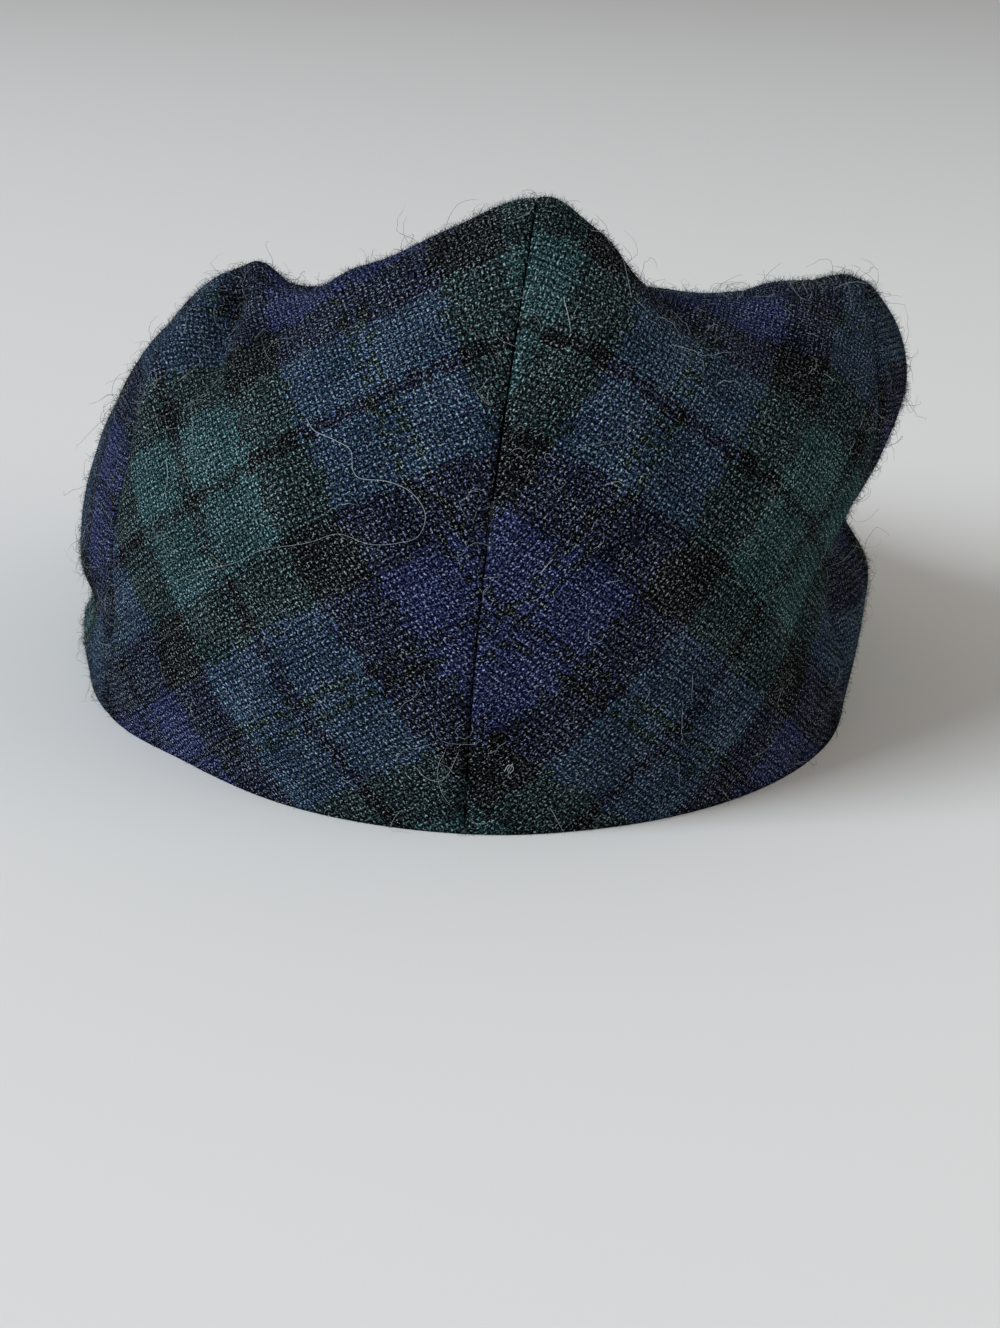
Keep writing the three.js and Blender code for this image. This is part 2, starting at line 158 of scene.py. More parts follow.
# The origin lies under the middle of the cap, so the sections' upright axis is a little off it
peakLow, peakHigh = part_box("peak")
capAxis = np.array([(peakLow.x + peakHigh.x) / 2, peakLow.y + peakForm["outerReach"] * mm, 0.0])


def blend(a, b, share):
    return a * (1 - share) + b * share


def smoothStep(value, low, high):
    share = np.clip((value - low) / (high - low), 0, 1)
    return share * share * (3 - 2 * share)


def unit(vectors):
    return vectors / np.maximum(np.linalg.norm(vectors, axis=-1, keepdims=True), 1e-12)


def peakUnderside(x, y):
    across = 1 - (x / peakForm["innerHalfWidth"]) ** 2
    forward = np.clip((-y - peakForm["archFrom"]) / (peakForm["outerReach"] - peakForm["archFrom"]), 0, 1)
    return np.maximum(0, peakForm["archHeight"] * across * (1 - peakForm["archFall"] * forward))


def peakSeat(points):
    return peakUnderside(points[:, 0], points[:, 1]) + peakForm["thickness"] + capForm["seatGap"]


# The table's rows for one level, sorted and carried on past a full turn
def trackOf(level):
    rows = sorted((row["azimuth"], row[level]) for row in sections if level in row)
    at = np.array([row[0] for row in rows], float)
    pair = np.array([row[1] for row in rows], float)
    at = np.concatenate([at[-3:] - 360, at, at[:3] + 360])
    return at, np.concatenate([pair[-3:], pair, pair[:3]])


tracks = {level: trackOf(level) for level in levels}


def pairAt(level, azimuth):
    at, pair = tracks[level]
    i = np.searchsorted(at, azimuth, side="right") - 1
    span = (at[i + 1] - at[i])[:, None]
    t = (azimuth - at[i])[:, None] / span
    slopeFrom = (pair[i + 1] - pair[i - 1]) / (at[i + 1] - at[i - 1])[:, None] * span
    slopeTo = (pair[i + 2] - pair[i]) / (at[i + 2] - at[i])[:, None] * span
    bend = t * (1 - t) * ((1 - t) * slopeFrom - t * slopeTo)
    return blend(pair[i], pair[i + 1], t * t * (3 - 2 * t)) + bend


def placed(azimuth, reach, height):
    turn = np.radians(azimuth)
    lean = capForm["crownLean"] * (height / capForm["crownHeight"]) ** 2
    return np.stack([reach * np.sin(turn) - lean, reach * np.cos(turn), height], -1)


# A smooth curve through each column of points, at a place counted in points
def alongCurve(stack, along):
    padded = np.concatenate([[2 * stack[0] - stack[1]], stack, [2 * stack[-1] - stack[-2]]])
    i = np.clip(along.astype(int), 0, len(stack) - 2)
    before, start, end, after = (padded[i + k, np.arange(len(along))] for k in range(4))

    def knot(a, b):
        return np.sqrt(np.maximum(np.linalg.norm(a - b, axis=1), 1e-8))[:, None]

    d0, d1, d2 = knot(before, start), knot(start, end), knot(end, after)
    leave = ((start - before) / d0 - (end - before) / (d0 + d1) + (end - start) / d1) * d1
    arrive = ((end - start) / d1 - (after - start) / (d1 + d2) + (after - end) / d2) * d1
    t = (along - i)[:, None]
    bend = t * (1 - t) * ((1 - t) * leave - t * arrive)
    return blend(start, end, t * t * (3 - 2 * t)) + bend


def outerPoints(azimuth, level):
    points = np.empty((len(azimuth), 3))
    front = np.abs(azimuth) > capForm["panelEnd"]
    for inFront in (False, True):
        pick = np.flatnonzero(front == inFront)
        if not len(pick):
            continue
        first = rimLevel if inFront else 0
        stack = [placed(azimuth[pick], *pairAt(name, azimuth[pick]).T) for name in levels[first:]]
        if inFront:
            stack[0][:, 2] = peakSeat(stack[0])
        nothing = np.zeros(len(pick))
        stack.append(placed(azimuth[pick], nothing, nothing + capForm["apexHeight"]))
        points[pick] = alongCurve(np.array(stack), level[pick] - first)
    return points


def foldDepth(azimuth, level):
    depth = np.zeros(len(azimuth))
    for fold in folds:
        along = np.clip((level - fold["low"]) / (fold["high"] - fold["low"]), 0, 1)
        across = (azimuth - fold["azimuth"] - fold["lean"] * (level - fold["low"])) / fold["width"]
        depth += fold["depth"] * np.sin(np.pi * along) ** 2 * np.exp(-across * across)
    return depth


# Soft unevenness of slack cloth: a few crossed waves of about one size
def slackness(points):
    rng = np.random.default_rng(clothMesh["wrinkleSeed"])
    count = clothMesh["wrinkleWaves"]
    total = np.zeros(len(points))
    for _ in range(count):
        heading = unit(rng.normal(size=3))
        length = clothMesh["wrinkleSize"] * rng.uniform(*clothMesh["wrinkleSpread"])
        total += np.sin(points @ (heading * 2 * np.pi / length) + rng.uniform(0, 2 * np.pi))
    return total / count ** 0.5


# One half of the cap as a lattice of corners: azimuth, level and a number for each corner
def halfLattice(side):
    turn = 1 if side == "left" else -1
    level = []
    for k, name in enumerate(levels):
        count = clothMesh["rowsAbove"][name]
        level.extend(k + np.arange(count) / count)
    level = np.array(level + [apexLevel])
    known = [levels.index(name) for name in ("hem", "waist", "rim")]
    bow = np.polyfit(known, capForm["sideSeams"][side], 2)
    sideSeam = np.polyval(bow, np.minimum(level, rimLevel))
    whole = np.ones(len(level))
    stops = [capForm["backSeam"] * whole, sideSeam, turn * capForm["panelEnd"] * whole,
             turn * capForm["frontSeam"] * whole]
    azimuth = []
    for k, count in enumerate(clothMesh["columns"]):
        shares = np.arange(count) / count
        azimuth.extend(blend(stops[k], stops[k + 1], share) for share in shares)
    azimuth = np.array(azimuth + [stops[-1]])
    number = np.arange(azimuth.size).reshape(azimuth.shape)
    number[:, -1] = number[0, -1]  # all columns meet at the apex
    return azimuth, np.broadcast_to(level, azimuth.shape), number


# The lattice cells of a panel, as faces that look outwards, and the corners that they use
def panelFaces(number, side, part):
    rimRow = sum(clothMesh["rowsAbove"][name] for name in levels[:rimLevel])
    sideColumn, endColumn = np.cumsum(clothMesh["columns"])[:2]
    faces = []
    for column in range(number.shape[0] - 1):
        for row in range(number.shape[1] - 1):
            inSide = row < rimRow and sideColumn <= column < endColumn
            inCrown = row >= rimRow or column < sideColumn
            wanted = inSide if part == "side" else inCrown
            if wanted:
                here, following = number[column], number[column + 1]
                corners = [here[row], here[row + 1], following[row + 1], following[row]]
                faces.append(list(dict.fromkeys(corners if side == "left" else corners[::-1])))
    used = np.unique(np.concatenate(faces))
    place = {corner: i for i, corner in enumerate(used)}
    return [[place[corner] for corner in face] for face in faces], used


def faceTriangles(faces):
    return np.array([(face[0], face[k], face[k + 1]) for face in faces for k in range(1, len(face) - 1)])


def vertexNormals(points, triangles):
    a, b, c = (points[triangles[:, k]] for k in range(3))
    normals = np.zeros_like(points)
    for k in range(3):
        np.add.at(normals, triangles[:, k], np.cross(b - a, c - a))
    return unit(normals)


# Edges that only one face has, in the order that keeps the panel on their left
def freeEdges(faces):
    edges = {}
    for face in faces:
        for start, end in zip(face, face[1:] + face[:1]):
            if (end, start) in edges:
                del edges[end, start]
            else:
                edges[start, end] = True
    return np.array(list(edges))


# Each point moves part of the way to the mean of its neighbours
def relax(points, faces, weight, turns):
    pairs = np.array([(a, b) for face in faces for a, b in zip(face, face[1:] + face[:1])])
    pairs = np.unique(np.sort(pairs, axis=1), axis=0)
    count = np.bincount(pairs.ravel(), minlength=len(points))[:, None]
    for _ in range(turns):
        total = np.zeros_like(points)
        np.add.at(total, pairs[:, 0], points[pairs[:, 1]])
        np.add.at(total, pairs[:, 1], points[pairs[:, 0]])
        points = points + weight[:, None] * (total / count - points)
    return points


# The panel laid flat, in millimetres and at its real area, and that area
def flatPattern(name, points, faces):
    mesh = bpy.data.meshes.new(name + "_pattern")
    mesh.from_pydata(points, [], faces)
    mesh.uv_layers.new(name="flat")
    pattern = bpy.data.objects.new(name + "_pattern", mesh)
    bpy.context.scene.collection.objects.link(pattern)
    bpy.context.view_layer.objects.active = pattern
    pattern.select_set(True)
    bpy.ops.object.mode_set(mode="EDIT")
    bpy.ops.mesh.select_all(action="SELECT")
    bpy.ops.uv.unwrap(method="MINIMUM_STRETCH", fill_holes=False, margin=0.0, iterations=20)
    bpy.ops.object.mode_set(mode="OBJECT")
    corners = np.zeros(len(mesh.loops), int)
    mesh.loops.foreach_get("vertex_index", corners)
    spots = np.zeros(2 * len(mesh.loops))
    mesh.uv_layers["flat"].data.foreach_get("uv", spots)
    flat = np.zeros((len(points), 2))
    flat[corners] = spots.reshape(-1, 2)
    bpy.data.objects.remove(pattern)
    bpy.data.meshes.remove(mesh)
    triangles = faceTriangles(faces)
    a, b, c = (points[triangles[:, k]] for k in range(3))
    real = np.linalg.norm(np.cross(b - a, c - a), axis=1).sum()
    u, v, w = (flat[triangles[:, k]] for k in range(3))
    drawn = (v - u)[:, 0] * (w - u)[:, 1] - (v - u)[:, 1] * (w - u)[:, 0]
    return flat * math.sqrt(real / np.abs(drawn).sum()), real / 2


# The cloth is stretched over the ridge at the back: by how much, between which levels and azimuths
ridge = {"stretch": 8.0, "low": 3.9, "high": 5.2, "fadeLow": 5.6, "fadeHigh": 8.0, "near": 8.0, "far": 36.0}


def ridgeStretch(azimuth, level):
    upward = smoothStep(level, ridge["low"], ridge["high"])
    upward = upward * (1 - smoothStep(level, ridge["fadeLow"], ridge["fadeHigh"]))
    return ridge["stretch"] * upward * (1 - smoothStep(np.abs(azimuth), ridge["near"], ridge["far"]))


# How the cloth lies in each piece. Warp and weft are turned from the piece's upright line, each by its
# own angle because the cloth is pulled out of square, and stretched; start is in millimetres of cloth.
grain = {
    "crown_left": {
        "warp": dict(turn=42.9, stretch=1.0, start=34.3),
        "weft": dict(turn=34.0, stretch=1.045, start=-33.9),
    },
    "crown_right": {
        "warp": dict(turn=41.5, stretch=0.92, start=27.5),
        "weft": dict(turn=34.1, stretch=1.115, start=-35.1),
    },
    "side_left": {
        "warp": dict(turn=0.0, stretch=1.0, start=4.2),
        "weft": dict(turn=0.0, stretch=1.0, start=-48.0),
    },
    "side_right": {
        "warp": dict(turn=0.0, stretch=1.0, start=4.2),
        "weft": dict(turn=0.0, stretch=1.0, start=-56.0),
    },
    "peak": {
        "warp": dict(turn=0.0, stretch=1.0, start=0.0),
        "weft": dict(turn=0.0, stretch=1.0, start=8.4),
    },
}
patternUnit = 100.0  # millimetres of cloth in one step of the pattern's coordinates


# Places on the cloth as it was woven, in millimetres, from places on the flat piece
def onGrain(name, u, v):
    warp, weft = grain[name]["warp"], grain[name]["weft"]
    turn = math.radians(warp["turn"])
    x = (u * math.cos(turn) - v * math.sin(turn)) / warp["stretch"] + warp["start"]
    turn = math.radians(weft["turn"])
    y = (u * math.sin(turn) + v * math.cos(turn)) / weft["stretch"] + weft["start"]
    return np.stack([x, y], -1)


# The corner nearest to a place on the cap, where a degree counts for as much as a hundred levels
def nearestCorner(azimuth, level, wantedAzimuth, wantedLevel):
    return np.argmin(np.abs(azimuth - wantedAzimuth) * 100 + np.abs(level - wantedLevel))


# The pattern set upright on a line from one corner to another, with u growing into the panel
def upright(flat, lower, upper):
    along = unit(flat[upper] - flat[lower])
    moved = flat - flat[lower]
    u = moved @ np.array([along[1], -along[0]])
    return u * np.sign(np.median(u)), moved @ along


def newPiece(name, points, faces, uv, material):
    mesh = bpy.data.meshes.new(name)
    mesh.from_pydata(points * mm + capAxis, [], faces)
    mesh.polygons.foreach_set("use_smooth", np.ones(len(mesh.polygons), bool))
    corners = np.zeros(len(mesh.loops), int)
    mesh.loops.foreach_get("vertex_index", corners)
    layer = mesh.uv_layers.new(name="cloth")
    layer.data.foreach_set("uv", (uv[corners] / patternUnit).ravel())
    mesh.materials.append(material)
    piece = bpy.data.objects.new(name, mesh)
    bpy.context.scene.collection.objects.link(piece)
    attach(piece, "root")
    return piece


leastRoom = 0.01  # millimetres, so that nothing is divided by zero


# A closed cloth wall: outer and inner faces, and a rolled strip along every free edge
def clothWall(outer, normals, faces, uv, thickness, isSeam, isHem, isFront):
    count = len(outer)
    inner = outer - normals * thickness[:, None]
    edges = freeEdges(faces)
    border = np.unique(edges)
    inward = np.zeros_like(outer)
    along = unit(outer[edges[:, 1]] - outer[edges[:, 0]])
    for k in range(2):
        np.add.at(inward, edges[:, k], unit(np.cross(normals[edges[:, k]], along)))
    inward = unit(inward)
    room = np.full(count, np.inf)  # distance to the nearest neighbour that isn't on the border
    beside = np.arange(count)
    onBorder = np.zeros(count, bool)
    onBorder[border] = True
    for face in faces:
        for a, b in zip(face, face[1:] + face[:1]):
            if onBorder[a] != onBorder[b]:
                at, other = (a, b) if onBorder[a] else (b, a)
                away = np.linalg.norm(outer[a] - outer[b])
                if away < room[at]:
                    room[at] = away
                    beside[at] = other
    room[np.isinf(room)] = 0
    roll = np.minimum(capForm["edgeRound"], room / 2)
    shut = np.where(isSeam, capForm["seamShut"] / 2, 0)
    fold = ((outer + inner) / 2 + inward * shut[:, None])[border]
    drawnIn = np.where(isSeam, capForm["seamGap"] / 2, 0) + roll
    outer = outer.copy()
    outer[border] += (inward * drawnIn[:, None])[border]
    inner[border] += (inward * drawnIn[:, None])[border]
    inner[isHem, 2] = outer[isHem, 2]
    hem = isHem[border]
    fold[hem, 2] = 0
    front = isFront[border]
    fold[front, 2] = peakSeat(fold[front])
    place = np.full(count, -1)
    place[border] = 2 * count + np.arange(len(border))
    walls = [list(face) for face in faces]
    walls += [[corner + count for corner in face[::-1]] for face in faces]
    for start, end in edges:
        walls.append([end, start, place[start], place[end]])
        walls.append([place[end], place[start], start + count, end + count])
    share = drawnIn / np.maximum(room, leastRoom)
    drawn = uv + (uv[beside] - uv) * share[:, None]
    return np.concatenate([outer, inner, fold]), walls, np.concatenate([drawn, drawn, uv[border]])


# One panel: its outer surface with folds, seams pulled in and slack, then the wall and its pattern
def clothPanel(side, part):
    name = part + "_" + side
    azimuth, level, number = halfLattice(side)
    faces, used = panelFaces(number, side, part)
    azimuth, level = azimuth.ravel()[used], level.ravel()[used]
    points = outerPoints(azimuth, level)
    triangles = faceTriangles(faces)
    normals = vertexNormals(points, triangles)
    points = points - normals * foldDepth(azimuth, level)[:, None]
    turned = np.abs(azimuth)
    nearEnd = np.exp(-((turned - capForm["panelEnd"]) / clothMesh["smoothEnd"]) ** 2)
    nearEnd = nearEnd * smoothStep(level, rimLevel, rimLevel + clothMesh["smoothAbove"])
    apexStart, apexFull = clothMesh["smoothApex"]
    nearApex = smoothStep(level, apexLevel - apexStart, apexLevel - apexFull)
    border = np.unique(freeEdges(faces))
    inside = np.ones(len(points))
    inside[border] = 0
    weight = clothMesh["smoothWeight"] * inside * np.maximum(nearEnd, nearApex)
    points = relax(points, faces, weight, clothMesh["smoothTurns"])
    normals = vertexNormals(points, triangles)

    isHem = level == 0
    isFront = (level == rimLevel) & (turned > capForm["panelEnd"])
    seam = border[~isHem[border] & ~isFront[border]]
    isSeam = np.zeros(len(points), bool)
    isSeam[seam] = True
    seamLine = points[seam]
    distance = np.array([np.sqrt(((seamLine - point) ** 2).sum(1).min()) for point in points])
    dip = capForm["seamDip"] * np.exp(-(distance / capForm["dipReach"]) ** 2)
    fade = clothMesh["wrinkleFade"]
    slack = clothMesh["wrinkleDepth"] * slackness(points)
    slack = slack * smoothStep(distance, 0, fade) * smoothStep(points[:, 2], 0, fade)
    outer = points + normals * (slack - dip)[:, None]
    outer[isHem, 2] = 0
    normals = vertexNormals(outer, triangles)
    thick = blend(capForm["hemWall"], capForm["clothWall"],
                  smoothStep(outer[:, 2], capForm["hemTurn"] - capForm["hemFade"], capForm["hemTurn"]))
    thick = np.where(turned > capForm["panelEnd"], capForm["clothWall"], thick)
    flat, area = flatPattern(name, points, faces)
    if part == "crown":
        lower = nearestCorner(azimuth, level, capForm["backSeam"], 0)
        upper = nearestCorner(azimuth, level, capForm["backSeam"], levels.index("belly"))
    else:
        atHem, _, atRim = capForm["sideSeams"][side]
        lower = nearestCorner(azimuth, level, atHem, 0)
        upper = nearestCorner(azimuth, level, atRim, rimLevel)
    u, v = upright(flat, lower, upper)
    if part == "crown":
        v = v - ridgeStretch(azimuth, level)
    uv = onGrain(name, u, v)
    wall, walls, wallUv = clothWall(outer, normals, faces, uv, thick, isSeam, isHem, isFront)
    piece = newPiece(name + "_cloth", wall, walls, wallUv, tartanWool)
    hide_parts(name)
    size = np.sort(np.ptp(flat, axis=0)) * mm
    print(name, "cloth:", len(walls), "faces, cut", size.round(3), "m, area", round(area * mm * mm, 4))
    return dict(piece=piece, points=outer, normals=normals, triangles=triangles, uv=uv,
                size=size, area=area * mm * mm)


# A node's socket: an expression on it adds Math nodes
class Sock:
    def __init__(self, finish, socket):
        self.finish = finish
        self.socket = socket

    def __add__(self, other):
        return self.finish.math("ADD", self, other)

    def __radd__(self, other):
        return self.finish.math("ADD", other, self)

    def __sub__(self, other):
        return self.finish.math("SUBTRACT", self, other)

    def __rsub__(self, other):
        return self.finish.math("SUBTRACT", other, self)

    def __mul__(self, other):
        return self.finish.math("MULTIPLY", self, other)

    def __rmul__(self, other):
        return self.finish.math("MULTIPLY", other, self)

    def __truediv__(self, other):
        return self.finish.math("DIVIDE", self, other)

    def __rtruediv__(self, other):
        return self.finish.math("DIVIDE", other, self)


# The nodes of a material or of the room's light
class Finish:
    def __init__(self, owner):
        owner.use_nodes = True
        self.owner = owner
        self.tree = owner.node_tree
        self.tree.nodes.clear()

    # Any node: its settings first, then the values or links of its sockets
    def node(self, kind, settings=None, sockets=None, out=0):
        node = self.tree.nodes.new("ShaderNode" + kind)
        for key, value in (settings or {}).items():
            if key == "stops":
                setStops(node.color_ramp, value)
            else:
                setattr(node, key, value)
        for key, value in (sockets or {}).items():
            if isinstance(value, Sock):
                self.tree.links.new(value.socket, node.inputs[key])
            else:
                node.inputs[key].default_value = value
        return Sock(self, node.outputs[out]) if len(node.outputs) else None

    def math(self, operation, *values):
        return self.node("Math", {"operation": operation}, dict(enumerate(values)))

    def mix(self, share, a, b, way="MIX"):
        settings = {"data_type": "RGBA", "blend_type": way}
        return self.node("Mix", settings, {0: share, 6: a, 7: b}, 2)

    def surface(self, sockets):
        shader = self.node("BsdfPrincipled", None, sockets)
        self.node("OutputMaterial", None, {"Surface": shader})
        return self.owner


def setStops(ramp, stops):
    ramp.interpolation = "CONSTANT"
    while len(ramp.elements) < len(stops):
        ramp.elements.new(1.0)
    for element, (position, colour) in zip(ramp.elements, stops):
        element.position = position
        element.color = colour


# The cloth: a plain weave whose warp and weft have the same stripes, mirrored at both ends of the list
tartan = {
    "warpYarn": 1.05,  # millimetres from one yarn to the next
    "weftYarn": 1.29,
    "stripes": [("blue", 1.05), ("black", 1.3), ("blue", 13.2),
                ("black", 12.6), ("green", 14.8), ("black", 1.6)],
    "blue": (0.0228, 0.0285, 0.071, 1),
    "green": (0.0285, 0.059, 0.064, 1),
    "black": (0.0074, 0.0079, 0.009, 1),
    "unevenDye": 0.4,
    "warpSeed": 3.7,
    "weftSeed": 91.3,
    "spun": 0.1,  # share of the other yarn's fibres that lie on top
    "mingled": 0.4,  # how far the yarn below tints the one on top
    "tint": 15.0,
    "bleed": 1.9,  # how far dyed fibres stray past the edge of a stripe, in millimetres
    "wander": 1.6,  # how far the yarns stray, in millimetres
    "wandersPerUnit": 30.0,
    "domeAcross": 3.5,  # how fast a yarn falls away to its sides, and along it to where it dips under, in height and in painted shade
    "domeAlong": 2.9,
    # painted shade: how much light is left in the hollows between crossings
    "hollowLight": 0.02,
    "tuftsPerUnit": 250.0,
    # how strongly the painted highlights on the tufts stand out
    "tuftContrast": 11.3,
    "wornPerUnit": 9.0,
    "worn": (0.35, 1.05),  # brightness of the most worn places, and how much the others gain
    "brightness": 1.06,
    # pale fibres and painted highlights: the brightest tufts turn whitish towards this colour
    "paleFibreAndGlint": (0.39, 0.455, 0.48, 1),
    "paleShare": 0.018,
    "paleMost": 0.8,
    "yarnHeight": 0.6,  # beside the tufts
    "bumpStrength": 0.9,
    "bumpDepth": 0.0005,
}


# Places on the cloth, and the same counted in yarns, a little out of line
def clothCoordinates(finish):
    place = finish.node("UVMap", {"uv_map": "cloth"})
    stray = finish.node("TexNoise", {"noise_dimensions": "2D"},
                        {"Vector": place, "Scale": tartan["wandersPerUnit"], "Detail": 4.0,
                         "Roughness": 0.7}, "Color")
    reach = tartan["wander"] / patternUnit
    moved = finish.node("VectorMath", {"operation": "MULTIPLY_ADD"},
                        {0: stray, 1: (reach, reach, 0.0), 2: place})
    x = finish.node("SeparateXYZ", None, {0: moved}, "X") * (patternUnit / tartan["warpYarn"])
    y = finish.node("SeparateXYZ", None, {0: moved}, "Y") * (patternUnit / tartan["weftYarn"])
    return place, x, y


# The dye at a crossing, and 1 where the warp lies on top
def dyedYarn(finish, x, y):
    warp, weft = finish.math("FLOOR", x), finish.math("FLOOR", y)
    over = finish.math("FLOORED_MODULO", warp + weft, 2.0)
    whole = sum(width for _, width in tartan["stripes"])
    stops = []
    done = 0
    for colour, width in tartan["stripes"]:
        stops.append((done / whole, tartan[colour]))
        done += width
    crossing = finish.node("CombineXYZ", None, {0: warp, 1: weft})
    bleed = finish.node("TexWhiteNoise", {"noise_dimensions": "2D"}, {"Vector": crossing}) * tartan["bleed"]
    dyed = []
    for yarn, name in ((weft, "weft"), (warp, "warp")):
        pitch, seed = tartan[name + "Yarn"], tartan[name + "Seed"]
        spot = (yarn + 0.5) * pitch + bleed - tartan["bleed"] / 2
        share = finish.math("PINGPONG", spot, whole) / whole
        stripe = finish.node("ValToRGB", {"stops": stops}, {0: share})
        uneven = finish.node("TexWhiteNoise", {"noise_dimensions": "1D"}, {"W": yarn + seed})
        strength = 1 - tartan["unevenDye"] / 2 + tartan["unevenDye"] * uneven
        dyed.append(finish.node("VectorMath", {"operation": "SCALE"}, {0: stripe, "Scale": strength}))
    blended = tartan["spun"] + (1 - 2 * tartan["spun"]) * over
    top, below = finish.mix(blended, *dyed), finish.mix(blended, *dyed[::-1])
    tint = finish.node("VectorMath", {"operation": "SCALE"}, {0: below, "Scale": tartan["tint"]})
    return finish.mix(tartan["mingled"], top, tint, "MULTIPLY"), over


def makeTartan():
    finish = Finish(bpy.data.materials.new("tartan_wool"))
    place, x, y = clothCoordinates(finish)
    dyed, over = dyedYarn(finish, x, y)
    besideWarp, besideWeft = finish.math("FRACT", x) - 0.5, finish.math("FRACT", y) - 0.5
    across = besideWeft + (besideWarp - besideWeft) * over
    along = besideWarp + (besideWeft - besideWarp) * over
    # Each crossing is high in its middle; the same dome darkens the colour towards the hollows as painted
    # shade
    domed = (1 - tartan["domeAcross"] * across * across) * (1 - tartan["domeAlong"] * along * along)
    tuft = finish.node("TexNoise", {"noise_dimensions": "2D"},
                       {"Vector": place, "Scale": tartan["tuftsPerUnit"], "Detail": 2.0, "Roughness": 0.6})
    worn = finish.node("TexNoise", {"noise_dimensions": "2D"},
                       {"Vector": place, "Scale": tartan["wornPerUnit"], "Detail": 4.0})
    # Painted highlights: few tufts catch the light, painted into the colour
    tuftGlint = finish.math("EXPONENT", tartan["tuftContrast"] * (tuft - 0.5))
    least, gain = tartan["worn"]
    # Painted shade in the hollows and painted highlights on the tufts, times the random wear and the
    # overall brightness
    shade = (tartan["hollowLight"] + domed) * tuftGlint * (least + gain * worn) * tartan["brightness"]
    shaded = finish.node("VectorMath", {"operation": "SCALE"}, {0: dyed, "Scale": shade})
    # Pale fibres and painted highlight: the brightest tufts turn whitish
    pale = finish.math("MINIMUM", shade * shade * tartan["paleShare"], tartan["paleMost"])
    colour = finish.mix(pale, shaded, tartan["paleFibreAndGlint"])
    height = domed * tartan["yarnHeight"] + tuft
    bump = finish.node("Bump", None, {"Strength": tartan["bumpStrength"], "Distance": tartan["bumpDepth"],
                                      "Height": height})
    return finish.surface({"Base Color": colour, "Roughness": 1.0, "Normal": bump,
                           "Specular IOR Level": 0.0})


# Loose fibres take the dye of the yarn they grow from, and some are undyed
def makeFuzz(name, undyedShare):
    finish = Finish(bpy.data.materials.new(name))
    _, x, y = clothCoordinates(finish)
    dyed, _ = dyedYarn(finish, x, y)
    chance = finish.node("NewGeometry", None, None, "Random Per Island")
    least, gain = fuzz["shade"]
    bright = finish.node("VectorMath", {"operation": "SCALE"}, {0: dyed, "Scale": least + gain * chance})
    undyed = finish.math("GREATER_THAN", chance, 1 - undyedShare)
    colour = finish.mix(undyed * fuzz["undyedMix"], bright, fuzz["undyed"])
    return finish.surface({"Base Color": colour, "Roughness": 1.0, "Specular IOR Level": fuzz["shine"]})


tartanWool = makeTartan()
print("tartan made")

panels = {}
for side in ("left", "right"):
    for part in ("crown", "side"):
        panels[part + "_" + side] = clothPanel(side, part)


# The peak: two layers of cloth over a stiffener, joined round its outer edge
def coveredPeak():
    columns, rows = peakForm["columns"], peakForm["rows"]
    azimuth = np.radians(np.linspace(peakForm["end"], 360 - peakForm["end"], columns + 1))[:, None]
    inner = 1 / np.hypot(np.sin(azimuth) / peakForm["innerHalfWidth"],
                         np.cos(azimuth) / peakForm["innerReach"])
    depth = peakForm["outerReach"] - peakForm["outerCentre"]
    a = (np.sin(azimuth) / peakForm["outerHalfWidth"]) ** 2 + (np.cos(azimuth) / depth) ** 2
    b = 2 * peakForm["outerCentre"] * np.cos(azimuth) / depth ** 2
    c = (peakForm["outerCentre"] / depth) ** 2 - 1
    outer = (np.sqrt(b * b - 4 * a * c) - b) / (2 * a)
    share = np.sin(np.linspace(0, 1, rows + 1) * np.pi / 2)[None, :]  # rows draw together at the edge
    reach = blend(inner, outer, share)
    x, y = reach * np.sin(azimuth), reach * np.cos(azimuth)
    toEdge = np.maximum(0, 1 - (outer - reach) / peakForm["thickness"])
    half = peakForm["thickness"] / 2 * np.sqrt(np.maximum(0, 1 - toEdge ** peakForm["edgePower"]))
    middle = peakUnderside(x, y) + peakForm["thickness"] / 2
    top = np.stack([x, y, middle + half], -1).reshape(-1, 3)
    under = np.stack([x, y, middle - half], -1).reshape(-1, 3)
    number = np.arange(top.shape[0]).reshape(columns + 1, rows + 1)
    below = number + top.shape[0]
    below[:, -1] = number[:, -1]
    faces = []
    for i in range(columns):
        for j in range(rows):
            faces.append([number[i, j], number[i + 1, j], number[i + 1, j + 1], number[i, j + 1]])
            faces.append([below[i, j], below[i, j + 1], below[i + 1, j + 1], below[i + 1, j]])
        faces.append([number[i, 0], below[i, 0], below[i + 1, 0], number[i + 1, 0]])
    for i, turn in ((0, 1), (columns, -1)):
        for j in range(rows):
            corners = list(dict.fromkeys([number[i, j], number[i, j + 1], below[i, j + 1], below[i, j]]))
            faces.append(corners[::turn])
    points = np.concatenate([top, under])
    used = np.unique(np.concatenate(faces))
    place = np.full(len(points), -1)
    place[used] = np.arange(len(used))
    faces = [[place[corner] for corner in face] for face in faces]
    points = points[used]
    uv = onGrain("peak", points[:, 0], points[:, 1])
    piece = newPiece("peak_cover", points, faces, uv, tartanWool)
    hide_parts("peak")
    triangles = faceTriangles(faces)
    normals = vertexNormals(points, triangles)
    print("peak cover:", len(faces), "faces")
    return dict(piece=piece, points=points, normals=normals, triangles=triangles, uv=uv)


panels["peak"] = coveredPeak()

